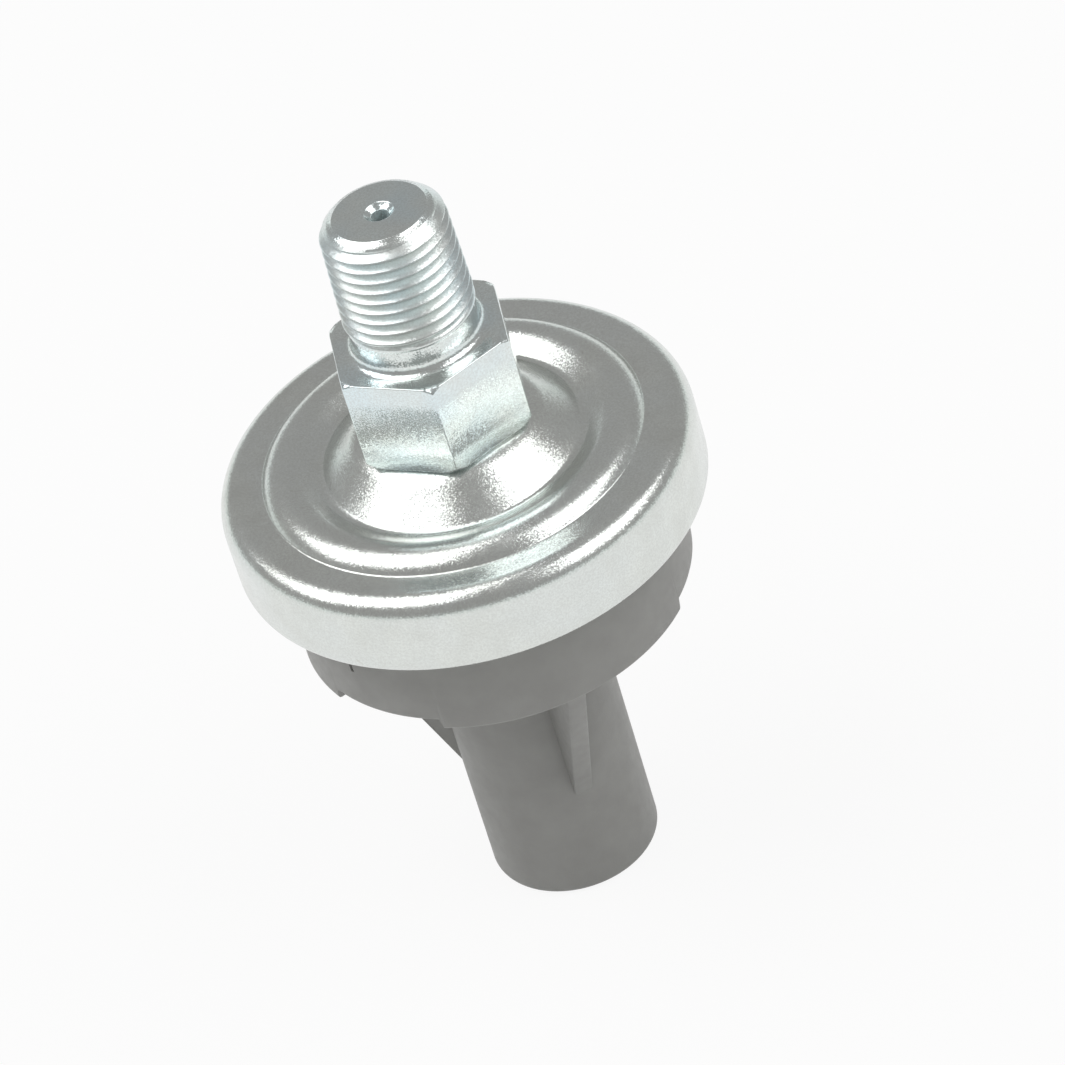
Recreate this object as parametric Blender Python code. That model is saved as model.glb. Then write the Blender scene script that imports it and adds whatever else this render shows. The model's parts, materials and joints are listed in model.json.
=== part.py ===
"""Oil pressure sender: a pressed steel pressure cap with a staked hexagon fitting, crimped
round a moulded plastic housing with a connector tower. Inside, a corrugated diaphragm pushes
a sprung plunger, which swings a wiper lever over a wire-wound resistor card.

Metres, +Z up. The origin is the centre of the open end of the connector tower, and the
threaded fitting points up.
"""
import math

import bmesh
import bpy
from mathutils import Matrix, Vector

# Gaps and facets
seat_gap = 0.0003          # between two pieces that rest on each other
press_gap = 0.00012        # round a piece that is pressed or riveted in
running_gap = 0.00008      # round a piece that slides or turns
round_steps = 48           # facets round a large turned piece
small_steps = 16           # facets round a pin or stem
middle_steps = 32          # facets round a shank, plunger or collar
rivet_steps = 12           # facets round a rivet or its hole
arc_steps = 3              # facets along a fillet
bead_steps = 7             # facets along the cap's boss and its bead
sector_steps = 6           # facets along the skirt between two lobes

# Connector tower
tower_diameter = 0.0136
tower_length = 0.0283
tower_wall = 0.0014
tower_edge_radius = 0.0006
socket_depth = 0.0156
partition_thickness = 0.0022
throat_diameter = 0.0097

# Housing
base_wall = 0.0015
floor_thickness = 0.0015
flange_thickness = 0.0020
skirt_depth = 0.0018
skirt_step = 0.0009
lobe_count = 3
lobe_turn = 16.2           # degrees from the front of the first lobe's middle
lobe_width = 83.0          # degrees
gusset_thickness = 0.0016
gusset_foot = 0.0099       # height of the gusset's lower end on the tower
mould_slot_turn = -50.5
mould_slot_width = 0.0003
mould_slot_height = 0.0050
mould_slot_depth = 0.0004

# Pressure cap
cap_diameter = 0.0373
cap_sheet = 0.0008
cap_rim_radius = 0.0018
cap_fold_radius = 0.0009
cap_lip_width = 0.0027
lip_clearance = 0.0003     # between the crimped lip and the side of the housing
boss_rise = 0.0030
boss_flat_diameter = 0.0112
boss_shoulder_radius = 0.0043
groove_diameter = 0.0207   # bottom of the groove between the boss and the bead
groove_radius = 0.0004
bead_diameter = 0.0260     # over the middle of its crest
bead_height = 0.0011
bead_radius = 0.0024

# Threaded fitting
hex_across_flats = 0.0130
hex_height = 0.0079
hex_chamfer_angle = 30.0
hex_face_inset = 0.0002    # from a flat to the round face inside the chamfer
hex_foot_chamfer = 0.0004
hex_seat_gap = 0.0002
neck_diameter = 0.0099
neck_length = 0.0017
thread_length = 0.0100
thread_tip_diameter = 0.0098
thread_taper = 1.0 / 16.0
tip_face_diameter = 0.0075
tip_chamfer_height = 0.0010
port_diameter = 0.0014
port_countersink_diameter = 0.0022
port_length = 0.0045
gallery_diameter = 0.0037
spigot_diameter = 0.0073
stake_diameter = 0.0092
stake_height = 0.0008

# Diaphragm and its seal
gasket_thickness = 0.0005
gasket_width = 0.0021
diaphragm_thickness = 0.0002
diaphragm_lift = 0.0020    # centre above the clamped edge
diaphragm_centre_diameter = 0.0150
corrugation_height = 0.0002
corrugation_count = 3
clamp_width = 0.0025

# Plunger and return spring
plate_thickness = 0.0008
bush_diameter = 0.0045
plunger_stroke = 0.0009
stem_diameter = 0.0022
stem_length = 0.0055
head_diameter = 0.0104
head_thickness = 0.0009
collar_diameter = 0.0069
collar_thickness = 0.0008
spring_diameter = 0.0039   # to the middle of the wire
spring_wire = 0.0005
spring_length = 0.0039
spring_turns = 3.5
spring_seat_diameter = 0.0051
spring_seat_thickness = 0.0005
spigot_height = 0.0007

# Bridge and calibration screw
bridge_thickness = 0.0008
bridge_width = 0.0037
bridge_span = 0.0122       # between the legs
bridge_foot = 0.0031
screw_diameter = 0.0027
screw_length = 0.0025
screw_slot = 0.0005
nut_across_flats = 0.0041
nut_height = 0.0008

# Wiper lever
pivot_offset = 0.0054      # pivot from the plunger's axis
pivot_drop = 0.0022        # pivot below the mechanism plate
pivot_pin_diameter = 0.0011
hub_diameter = 0.0020
nose_reach = 0.0022
nose_width = 0.0015
nose_root_width = 0.0011
nose_tip_diameter = 0.0005
arm_thickness = 0.0006
arm_height = 0.0018
arm_tip_height = 0.0013
arm_clearance = 0.0005     # between the plunger's collar and the arm
contact_strip_thickness = 0.0002
contact_width = 0.0012
contact_gap = 0.00012
finger_drop = 0.00075      # from the finger's foot on the arm to the winding
wiper_rivet_diameter = 0.0008
wiper_rivet_inset = 0.0035  # from the wiper's tip
wiper_rivet_head = 0.0002

# Pivot bracket
bracket_thickness = 0.0006
bracket_length = 0.0052
ear_length = 0.0028
ear_drop = 0.0029
ear_clearance = 0.0016     # between the lever's nose and the back ear
rivet_diameter = 0.0013
rivet_head_diameter = 0.0022
rivet_head_height = 0.0005

# Resistor card
card_width = 0.0045
card_thickness = 0.0006
winding_wire = 0.00025
winding_turns = 18
holder_thickness = 0.0009
holder_width = 0.0058
holder_back = 0.0032
holder_clearance = 0.0003  # between the holder's corner and the wall of the well

# Terminal
terminal_diameter = 0.0030
terminal_recess = 0.0052
terminal_tip_radius = 0.0010
terminal_flange_diameter = 0.0054
terminal_flange_height = 0.0008
terminal_shank_diameter = 0.0022
washer_thickness = 0.0004
washer_diameter = 0.0050
strip_thickness = 0.0004
strip_width = 0.0036
terminal_nut_height = 0.0012

# Radii from the axis, and places of the lever's parts across it
base_radius = cap_diameter / 2 - cap_lip_width - lip_clearance
well_radius = base_radius - base_wall
clamped_radius = cap_diameter / 2 - cap_sheet - seat_gap
arm_inner_y = -(collar_diameter / 2 + arm_clearance)
arm_outer_y = arm_inner_y - arm_thickness
front_ear_y = arm_outer_y - contact_strip_thickness - 2 * seat_gap
back_ear_y = nose_width / 2 + ear_clearance
bracket_start = pivot_offset - ear_length / 2
card_face_y = arm_outer_y - contact_strip_thickness - seat_gap - finger_drop
card_middle_y = card_face_y - winding_wire - press_gap - card_thickness / 2
holder_back_y = card_middle_y - card_thickness / 2 - seat_gap / 2 - holder_back
holder_reach = math.sqrt((well_radius - holder_clearance) ** 2 - holder_back_y ** 2)
card_middle_x = holder_width / 2 - holder_reach

# Swing of the lever while the plunger makes its stroke, in radians, and the arm that it needs
# for the middle of the wiper's path to lie on the middle of the card
nose_rise = pivot_drop - collar_thickness - nose_tip_diameter / 2 - 2 * seat_gap
nose_length = math.hypot(nose_reach, nose_rise)
lever_swing = (math.atan2(nose_rise, nose_reach)
               - math.asin((nose_rise - plunger_stroke) / nose_length))
arm_length = 2 * (pivot_offset - card_middle_x) / (1 + math.cos(lever_swing))
wiper_travel = arm_length * math.sin(lever_swing)
wiper_rivet_x = pivot_offset - arm_length + wiper_rivet_inset
winding_height = wiper_travel + contact_width / 2

# Heights of the main faces, from the open end of the tower. The well is deep enough for the
# plunger's spring and bridge, and for the wiper's path, over the contact strip on its floor.
spring_stack = (strip_thickness + bridge_thickness + spring_seat_thickness + spring_length
                + collar_thickness + 7 * seat_gap)
wiper_stack = strip_thickness + (winding_height + wiper_travel + 5 * seat_gap) / 2 + pivot_drop
floor_top = tower_length + floor_thickness
plate_foot = floor_top + max(spring_stack, wiper_stack)
plate_top = plate_foot + plate_thickness
flange_top = plate_foot - seat_gap
flange_foot = flange_top - flange_thickness
lip_foot = flange_foot - seat_gap - cap_sheet
diaphragm_foot = plate_top + seat_gap
gasket_foot = diaphragm_foot + diaphragm_thickness + seat_gap
cap_inside = gasket_foot + gasket_thickness + seat_gap
cap_top = cap_inside + cap_sheet
boss_top = cap_top + boss_rise
hex_foot = boss_top + hex_seat_gap
hex_top = hex_foot + hex_height
neck_top = hex_top + neck_length
tip_top = neck_top + thread_length
collar_top = plate_foot - seat_gap
collar_foot = collar_top - collar_thickness
spring_top = collar_foot - seat_gap
spring_foot = spring_top - spring_length
seat_top = spring_foot - seat_gap
screw_top = seat_top - spring_seat_thickness - seat_gap
bridge_top = screw_top - seat_gap
bridge_foot_top = plate_foot - seat_gap
head_foot = plate_top + plunger_stroke + seat_gap / 2
pivot_height = plate_foot - pivot_drop
winding_foot = pivot_height - (wiper_travel + winding_height) / 2


def clear_scene():
    """Remove every object of the open scene."""
    for item in list(bpy.data.objects):
        bpy.data.objects.remove(item, do_unlink=True)


def make_material(name, colour, roughness, metallic):
    """A Principled material with one colour."""
    material = bpy.data.materials.new(name)
    material.use_nodes = True
    shader = material.node_tree.nodes["Principled BSDF"]
    shader.inputs["Base Color"].default_value = (*colour, 1.0)
    shader.inputs["Roughness"].default_value = roughness
    shader.inputs["Metallic"].default_value = metallic
    material.diffuse_color = (*colour, 1.0)
    return material


def add_object(name, mesh_data, material=None, sharp_angle=32.0):
    """Turn a bmesh into a smooth shaded object of the scene."""
    bmesh.ops.remove_doubles(mesh_data, verts=mesh_data.verts, dist=1e-7)
    bmesh.ops.recalc_face_normals(mesh_data, faces=mesh_data.faces)
    mesh = bpy.data.meshes.new(name)
    mesh_data.to_mesh(mesh)
    mesh_data.free()
    mesh.shade_smooth()
    mesh.set_sharp_from_angle(angle=math.radians(sharp_angle))
    item = bpy.data.objects.new(name, mesh)
    bpy.context.scene.collection.objects.link(item)
    if material:
        mesh.materials.append(material)
    return item


def turned_mesh(profile, steps, closed=True):
    """A bmesh turned about Z from a profile of (radius, height) points."""
    data = bmesh.new()
    verts = [data.verts.new((radius, 0.0, height)) for radius, height in profile]
    pairs = list(zip(verts, verts[1:]))
    if closed:
        pairs.append((verts[-1], verts[0]))
    edges = [data.edges.new(pair) for pair in pairs]
    bmesh.ops.spin(data, geom=verts + edges, axis=(0, 0, 1), cent=(0, 0, 0),
                   steps=steps, angle=2 * math.pi, use_merge=True)
    return data


def turned(name, profile, material, steps=small_steps, sharp_angle=32.0):
    """A turned ring whose profile is a closed loop away from the axis."""
    return add_object(name, turned_mesh(profile, steps), material, sharp_angle)


def turned_solid(name, profile, material, steps=small_steps, sharp_angle=32.0):
    """A turned solid whose profile starts and ends on the axis."""
    data = turned_mesh(profile, steps, closed=False)
    bmesh.ops.remove_doubles(data, verts=data.verts, dist=1e-7)
    return add_object(name, data, material, sharp_angle)


def ring(name, inner, outer, low, high, material, steps=small_steps):
    """A plain flat ring."""
    profile = [(inner, low), (outer, low), (outer, high), (inner, high)]
    return turned(name, profile, material, steps)


def rod(name, radius, low, high, material, steps=small_steps):
    """A plain cylinder on the Z axis."""
    profile = [(0.0, low), (radius, low), (radius, high), (0.0, high)]
    return turned_solid(name, profile, material, steps)


def arc(centre, radius, start, end, steps=arc_steps):
    """Points of an arc, with angles in degrees from the radial direction."""
    points = []
    for index in range(steps + 1):
        angle = math.radians(start + (end - start) * index / steps)
        points.append((centre[0] + radius * math.cos(angle), centre[1] + radius * math.sin(angle)))
    return points


def offset_path(points, distance):
    """A path beside another one, to its right."""
    moved = []
    for index, point in enumerate(points):
        before = Vector(points[max(index - 1, 0)])
        here = Vector(point)
        after = Vector(points[min(index + 1, len(points) - 1)])
        first = (here - before) if index else (after - here)
        last = (after - here) if index < len(points) - 1 else (here - before)
        first.normalize()
        last.normalize()
        normal = Vector((first.y + last.y, -first.x - last.x)).normalized()
        stretch = 1.0 / max(normal.dot(Vector((first.y, -first.x))), 0.5)
        moved.append(tuple(here + normal * distance * stretch))
    return moved


def rounded_path(points, radius, steps=3):
    """A path whose corners are rounded off."""
    path = [tuple(points[0])]
    for before, corner, after in zip(points, points[1:], points[2:]):
        corner = Vector(corner)
        toward_start = (Vector(before) - corner).normalized()
        toward_end = (Vector(after) - corner).normalized()
        for index in range(steps + 1):
            share = index / steps
            first = corner + toward_start * radius * (1 - share)
            last = corner + toward_end * radius * share
            path.append(tuple(first.lerp(last, share)))
    path.append(tuple(points[-1]))
    return path


def prism(name, outline, low, high, material, frame=Matrix.Identity(4), sharp_angle=32.0):
    """An outline in x and y drawn out along z, then placed by a frame."""
    data = bmesh.new()
    verts = [data.verts.new((x, y, low)) for x, y in outline]
    face = data.faces.new(verts)
    pushed = bmesh.ops.extrude_face_region(data, geom=[face])
    tops = [item for item in pushed["geom"] if isinstance(item, bmesh.types.BMVert)]
    bmesh.ops.translate(data, verts=tops, vec=(0, 0, high - low))
    bmesh.ops.transform(data, matrix=frame, verts=data.verts)
    return add_object(name, data, material, sharp_angle)


def strip(name, path, thickness, low, high, material, frame, bend):
    """A sheet metal strip bent along a path, which is the middle of its thickness."""
    middle = rounded_path(path, bend)
    outline = offset_path(middle, thickness / 2) + offset_path(middle, -thickness / 2)[::-1]
    return prism(name, outline, low, high, material, frame)


def frame_xz():
    """Outline x stays X, outline y becomes Z, and the depth runs along -Y."""
    return Matrix(((1, 0, 0, 0), (0, 0, -1, 0), (0, 1, 0, 0), (0, 0, 0, 1)))


def frame_yz():
    """Outline x becomes Y, outline y becomes Z, and the depth runs along X."""
    return Matrix(((0, 0, 1, 0), (1, 0, 0, 0), (0, 1, 0, 0), (0, 0, 0, 1)))


def frame_radial(direction):
    """Outline x runs out along a direction, outline y becomes Z."""
    along = Vector(direction).normalized()
    side = Vector((0, 0, 1)).cross(along)
    columns = Matrix((along, Vector((0, 0, 1)), -side)).transposed()
    return columns.to_4x4()


def use_cutter(item, cutter, operation="DIFFERENCE"):
    """Cut or join with a helper object that isn't part of the model."""
    cutter.hide_render = True
    cutter.display_type = "WIRE"
    modifier = item.modifiers.new(cutter.name, "BOOLEAN")
    modifier.operation = operation
    modifier.solver = "EXACT"
    modifier.object = cutter
    return item


def placed(item, location):
    """Move an object to its place."""
    item.location = location
    return item


def box_outline(x_low, x_high, y_low, y_high):
    """Corners of a rectangle."""
    return [(x_low, y_low), (x_high, y_low), (x_high, y_high), (x_low, y_high)]


def hexagon(across_flats):
    """Corners of a hexagon with one corner to the front."""
    corner = across_flats / math.sqrt(3)
    angles = [math.radians(60 * index - 90) for index in range(6)]
    return [(corner * math.cos(angle), corner * math.sin(angle)) for angle in angles]


def circle(radius):
    """Corners of a large round disc."""
    angles = [2 * math.pi * (index + 0.5) / round_steps for index in range(round_steps)]
    return [(radius * math.cos(angle), radius * math.sin(angle)) for angle in angles]


def from_front(degrees):
    """Angle about Z, in radians, of a place this far round from the front."""
    return math.radians(degrees - 90)


def build_housing(plastic):
    """Moulded housing: connector tower, floor, well, crimped flange, skirt and gussets."""
    tower = tower_diameter / 2
    socket = tower - tower_wall
    skirt_foot = tower_length - skirt_depth
    partition_top = socket_depth + partition_thickness
    shank_hole = terminal_shank_diameter / 2 + press_gap
    edge = tower_edge_radius
    profile = [(socket, 0.0), (tower - edge, 0.0)]
    profile += arc((tower - edge, edge), edge, -90, 0)[1:]
    profile += [(tower, tower_length), (well_radius, tower_length), (well_radius, skirt_foot)]
    profile += [(base_radius, skirt_foot), (base_radius, flange_foot)]
    profile += [(clamped_radius, flange_foot), (clamped_radius, flange_top)]
    profile += [(well_radius, flange_top), (well_radius, floor_top)]
    profile += [(throat_diameter / 2, floor_top), (throat_diameter / 2, partition_top)]
    profile += [(shank_hole, partition_top), (shank_hole, socket_depth), (socket, socket_depth)]
    housing = turned("sender_housing", profile, plastic, round_steps)
    add_gussets(housing, skirt_foot)
    cut_skirt(housing, skirt_foot)
    cut_mould_slot(housing)
    return housing


def add_gussets(housing, skirt_foot):
    """Triangular webs from the tower to the skirt, one under each lobe."""
    tower = tower_diameter / 2
    slope = (well_radius - tower) / (skirt_foot - gusset_foot)
    root = tower - tower_wall / 2
    rim = well_radius + base_wall / 2
    high = tower_length + floor_thickness / 2
    outline = [(root, gusset_foot - (tower - root) / slope),
               (rim, skirt_foot + (rim - well_radius) / slope), (rim, high), (root, high)]
    for index in range(lobe_count):
        angle = from_front(lobe_turn + 360.0 / lobe_count * index)
        frame = frame_radial((math.cos(angle), math.sin(angle), 0))
        web = prism(f"gusset_form_{index + 1}", outline, -gusset_thickness / 2,
                    gusset_thickness / 2, None, frame)
        use_cutter(housing, web, "UNION")


def cut_skirt(housing, skirt_foot):
    """Shorten the skirt between its lobes."""
    gap = 360.0 / lobe_count - lobe_width
    reach = base_radius + base_wall
    inner = well_radius - gusset_thickness / 2
    low = skirt_foot - skirt_step
    high = skirt_foot + skirt_step
    for index in range(lobe_count):
        start = lobe_turn + lobe_width / 2 + 360.0 / lobe_count * index
        angles = [from_front(start + gap * step / sector_steps) for step in range(sector_steps + 1)]
        outline = [(inner * math.cos(angle), inner * math.sin(angle)) for angle in angles]
        outline += [(reach * math.cos(angle), reach * math.sin(angle)) for angle in angles[::-1]]
        sector = prism(f"skirt_cut_{index + 1}", outline, low, high, None)
        use_cutter(housing, sector)


def cut_mould_slot(housing):
    """Narrow witness slot in the side of the base."""
    angle = from_front(mould_slot_turn)
    frame = frame_radial((math.cos(angle), math.sin(angle), 0))
    outline = box_outline(base_radius - mould_slot_depth, base_radius + base_wall,
                          flange_foot - mould_slot_height, flange_foot + seat_gap / 2)
    slot = prism("mould_slot_cut", outline, -mould_slot_width / 2, mould_slot_width / 2,
                 None, frame)
    use_cutter(housing, slot)


def tangent_angle(centre, radius, point, side):
    """Angle in degrees, on a circle, of the tangent that runs to a point on one side."""
    across = point[0] - centre[0]
    rise = point[1] - centre[1]
    opening = math.acos(radius / math.hypot(across, rise))
    return math.degrees(math.atan2(rise, across) + side * opening)


def groove_arc(point, low_angle, high_angle):
    """Fillet in the bottom of the groove, between two flanks given by their normals."""
    half = math.radians(180 - (high_angle - low_angle)) / 2
    middle = math.radians((low_angle + high_angle) / 2)
    stretch = groove_radius / math.sin(half)
    centre = (point[0] + stretch * math.cos(middle), point[1] + stretch * math.sin(middle))
    return arc(centre, groove_radius, 180 + low_angle, 180 + high_angle)


def cap_outer_profile():
    """Outer face of the pressure cap from the hole in the boss out to the crimped lip."""
    wall = cap_diameter / 2
    boss_centre = (boss_flat_diameter / 2, boss_top - boss_shoulder_radius)
    bead_centre = (bead_diameter / 2, cap_top + bead_height - bead_radius)
    groove = (groove_diameter / 2, cap_top)
    boss_end = tangent_angle(boss_centre, boss_shoulder_radius, groove, 1)
    bead_start = tangent_angle(bead_centre, bead_radius, groove, -1)
    bead_end = math.degrees(math.asin(1 - bead_height / bead_radius))
    profile = [(spigot_diameter / 2 + hex_seat_gap, boss_top)]
    profile += arc(boss_centre, boss_shoulder_radius, 90, boss_end, bead_steps)
    profile += groove_arc(groove, boss_end, bead_start)
    profile += arc(bead_centre, bead_radius, bead_start, bead_end, bead_steps)
    profile += arc((wall - cap_rim_radius, cap_top - cap_rim_radius), cap_rim_radius, 90, 0)
    profile += arc((wall - cap_fold_radius, lip_foot + cap_fold_radius), cap_fold_radius, 0, -90)
    profile.append((wall - cap_lip_width, lip_foot))
    return profile


def build_cap(steel):
    """Pressed sheet cap: the outer face and the same face one sheet thickness inside."""
    outer = cap_outer_profile()
    inner = offset_path(outer, cap_sheet)
    return turned("pressure_cap", outer + inner[::-1], steel, round_steps, 50.0)


def build_fitting(steel):
    """Turned fitting with a wrench hexagon, a tapered thread shank and an oil port."""
    neck = neck_diameter / 2
    spigot = spigot_diameter / 2
    stake = stake_diameter / 2
    stake_top = boss_top - cap_sheet - hex_seat_gap
    stake_foot = stake_top - stake_height
    thread_tip = thread_tip_diameter / 2
    thread_base = thread_tip + (thread_length - tip_chamfer_height) * thread_taper / 2
    chamfer_foot = tip_top - tip_chamfer_height
    run_out = thread_base - neck
    face = tip_face_diameter / 2
    tip_bulge = ((face + thread_tip) / 2 + tip_chamfer_height / 6,
                 tip_top - tip_chamfer_height / 3)
    core = [(0.0, stake_foot), (stake, stake_foot), (stake, stake_top), (spigot, stake_top)]
    core += [(spigot, hex_foot + hex_foot_chamfer), (neck, hex_foot + hex_height / 2)]
    core += [(neck, neck_top - run_out), (thread_base, neck_top), (thread_tip, chamfer_foot)]
    core += [tip_bulge, (face, tip_top), (0.0, tip_top)]
    fitting = prism("threaded_fitting", hexagon(hex_across_flats), hex_foot, hex_top, steel)
    use_cutter(fitting, hex_envelope(), "INTERSECT")
    shank = turned_solid("fitting_shank_form", core, None, middle_steps)
    use_cutter(fitting, shank, "UNION")
    use_cutter(fitting, port_form(stake_foot))
    return fitting


def hex_envelope():
    """Turned shape that chamfers the hexagon's corners at the top and the foot."""
    corner = hex_across_flats / math.sqrt(3)
    flat = hex_across_flats / 2
    spread = corner + seat_gap
    top_face = flat - hex_face_inset
    drop = (spread - top_face) * math.tan(math.radians(hex_chamfer_angle))
    profile = [(0.0, hex_foot), (corner - hex_foot_chamfer, hex_foot),
               (spread, hex_foot + hex_foot_chamfer + seat_gap), (spread, hex_top - drop),
               (top_face, hex_top), (0.0, hex_top)]
    envelope = turned_solid("hex_envelope_form", profile, None, middle_steps)
    envelope.rotation_euler.z = math.pi / middle_steps
    return envelope


def port_form(stake_foot):
    """Oil port: a small orifice at the tip, countersunk, that widens into a gallery."""
    port = port_diameter / 2
    sink = port_countersink_diameter / 2
    gallery = gallery_diameter / 2
    gallery_top = tip_top - port_length
    beyond = seat_gap
    profile = [(0.0, stake_foot - beyond), (gallery, stake_foot - beyond)]
    profile += [(gallery, gallery_top), (port, gallery_top + gallery - port)]
    profile += [(port, tip_top - (sink - port)), (sink, tip_top), (sink, tip_top + beyond)]
    profile += [(0.0, tip_top + beyond)]
    port_tool = turned_solid("port_cut", profile, None, small_steps)
    port_tool.rotation_euler.z = math.pi / small_steps / 2
    return port_tool


def build_gasket(rubber):
    """Rubber ring between the cap and the diaphragm."""
    outer = clamped_radius - seat_gap
    return ring("diaphragm_gasket", outer - gasket_width, outer, gasket_foot,
                gasket_foot + gasket_thickness, rubber, round_steps)


def build_diaphragm(steel):
    """Corrugated disc: clamped edge, rings of waves and a raised flat centre."""
    clamp = clamped_radius - clamp_width
    centre = diaphragm_centre_diameter / 2
    foot = centre + diaphragm_lift
    lower = [(clamped_radius, diaphragm_foot), (clamp, diaphragm_foot)]
    steps = 4 * corrugation_count
    for index in range(1, steps):
        share = index / steps
        wave = 0.5 - 0.5 * math.cos(2 * math.pi * corrugation_count * share)
        lower.append((clamp + (foot - clamp) * share, diaphragm_foot + corrugation_height * wave))
    lower += [(foot, diaphragm_foot), (centre, diaphragm_foot + diaphragm_lift)]
    upper = offset_path(lower, diaphragm_thickness)
    lower.append((0.0, lower[-1][1]))
    upper.append((0.0, upper[-1][1]))
    return turned_solid("diaphragm", lower[::-1] + upper, steel, middle_steps)


def build_plate(steel):
    """Disc that carries the mechanism, with the guide hole and the rivet holes."""
    hole = bush_diameter / 2 + seat_gap
    plate = prism("mechanism_plate", circle(clamped_radius), plate_foot, plate_top, steel)
    guide_hole = rod("guide_hole", hole, plate_foot - seat_gap, plate_top + seat_gap, None)
    use_cutter(plate, guide_hole)
    for index, (x, y) in enumerate(rivet_places().values()):
        radius = rivet_diameter / 2 + press_gap
        cutter = rod(f"plate_hole_{index + 1}", radius, plate_foot - seat_gap,
                     plate_top + seat_gap, None, rivet_steps)
        use_cutter(plate, placed(cutter, (x, y, 0)))
    return plate


def build_bush(bronze):
    """Guide bush of the plunger's stem."""
    inner = stem_diameter / 2 + running_gap
    return ring("guide_bush", inner, bush_diameter / 2, plate_foot, plate_top, bronze)


def build_plunger(steel):
    """Push plate under the diaphragm and its guided stem."""
    head = head_diameter / 2
    stem = stem_diameter / 2
    head_top = head_foot + head_thickness
    edge = head_thickness / 4
    foot = head_foot - stem_length
    profile = [(0.0, foot), (stem - edge, foot), (stem, foot + edge), (stem, head_foot)]
    profile += [(head - edge, head_foot), (head, head_foot + edge), (head, head_top - edge)]
    profile += [(head - edge, head_top), (0.0, head_top)]
    return turned_solid("plunger", profile, steel, middle_steps)


def build_collar(steel):
    """Collar pressed on the stem: it drives the lever and takes the spring."""
    inner = stem_diameter / 2 + press_gap
    return ring("plunger_collar", inner, collar_diameter / 2, collar_foot, collar_top, steel,
                middle_steps)


def build_spring(wire):
    """Compression spring with closed end turns."""
    radius = spring_diameter / 2
    thick = spring_wire / 2
    low = spring_foot + thick
    high = spring_top - thick
    total = spring_turns + 1.0
    per_turn = 12
    sides = 6
    count = round(total * per_turn)
    end_rise = (spring_wire + running_gap) / 2
    data = bmesh.new()
    rings = []
    for index in range(count + 1):
        turn = total * index / count
        if turn < 0.5:
            height = low + end_rise * turn / 0.5
        elif turn > total - 0.5:
            height = high - end_rise * (total - turn) / 0.5
        else:
            height = low + end_rise + (high - low - 2 * end_rise) * (turn - 0.5) / (total - 1.0)
        angle = 2 * math.pi * turn
        loop = []
        for side in range(sides):
            tilt = 2 * math.pi * side / sides
            reach = radius + thick * math.cos(tilt)
            place = (reach * math.cos(angle), reach * math.sin(angle),
                     height + thick * math.sin(tilt))
            loop.append(data.verts.new(place))
        rings.append(loop)
    for first, second in zip(rings, rings[1:]):
        for side in range(sides):
            after = (side + 1) % sides
            data.faces.new((first[side], first[after], second[after], second[side]))
    data.faces.new(rings[0][::-1])
    data.faces.new(rings[-1])
    return add_object("return_spring", data, wire, 60.0)


def build_spring_seat(steel):
    """Seat of the spring on the calibration screw, with a centring spigot."""
    outer = spring_seat_diameter / 2
    spigot = spring_diameter / 2 - spring_wire / 2 - seat_gap
    foot = seat_top - spring_seat_thickness
    top = seat_top + spigot_height
    profile = [(0.0, foot), (outer, foot), (outer, seat_top), (spigot, seat_top)]
    profile += [(spigot, top), (0.0, top)]
    return turned_solid("spring_seat", profile, steel)


def bridge_foot_path():
    """Path of the bridge in y and z, as the middle of its sheet."""
    half = bridge_thickness / 2
    leg = bridge_span / 2 + half
    foot_height = bridge_foot_top - half
    bar_height = bridge_top - half
    toe = leg + bridge_foot
    return [(-toe, foot_height), (-leg, foot_height), (-leg, bar_height),
            (leg, bar_height), (leg, foot_height), (toe, foot_height)]


def bridge_rivet_y():
    """Distance of the bridge's rivets from the plunger's axis."""
    return bridge_span / 2 + bridge_thickness + bridge_foot / 2


def build_bridge(steel):
    """U-shaped strap that holds the calibration screw under the spring."""
    bridge = strip("spring_bridge", bridge_foot_path(), bridge_thickness, -bridge_width / 2,
                   bridge_width / 2, steel, frame_yz(), bridge_thickness)
    screw_hole = rod("bridge_screw_hole", screw_diameter / 2 + press_gap,
                     bridge_top - 2 * bridge_thickness, bridge_top + seat_gap, None)
    use_cutter(bridge, screw_hole)
    for side in (-1, 1):
        hole = rod(f"bridge_rivet_hole_{side + 2}", rivet_diameter / 2 + press_gap,
                   bridge_foot_top - 2 * bridge_thickness, bridge_foot_top + seat_gap, None,
                   rivet_steps)
        use_cutter(bridge, placed(hole, (0, side * bridge_rivet_y(), 0)))
    return bridge


def build_screw(brass):
    """Slotted calibration screw."""
    radius = screw_diameter / 2
    low = screw_top - screw_length
    edge = screw_slot / 3
    profile = [(0.0, low), (radius - edge, low), (radius, low + edge)]
    profile += [(radius, screw_top), (0.0, screw_top)]
    screw = turned_solid("calibration_screw", profile, brass)
    outline = box_outline(-screw_diameter, screw_diameter, -screw_slot / 2, screw_slot / 2)
    slot = prism("screw_slot_cut", outline, low - seat_gap, low + screw_slot, None)
    return use_cutter(screw, slot)


def build_nut(name, hole_diameter, low, high, metal):
    """Plain hexagon nut."""
    nut = prism(name, hexagon(nut_across_flats), low, high, metal)
    hole = rod(f"{name}_hole", hole_diameter / 2 + press_gap, low - seat_gap, high + seat_gap,
               None)
    return use_cutter(nut, hole)


def bracket_rivet_places():
    """Places of the two rivets behind the bracket's ears."""
    x = bracket_start + (ear_length + bracket_length) / 2
    span = back_ear_y - front_ear_y
    return (x, front_ear_y + span / 4), (x, back_ear_y - span / 4)


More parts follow.
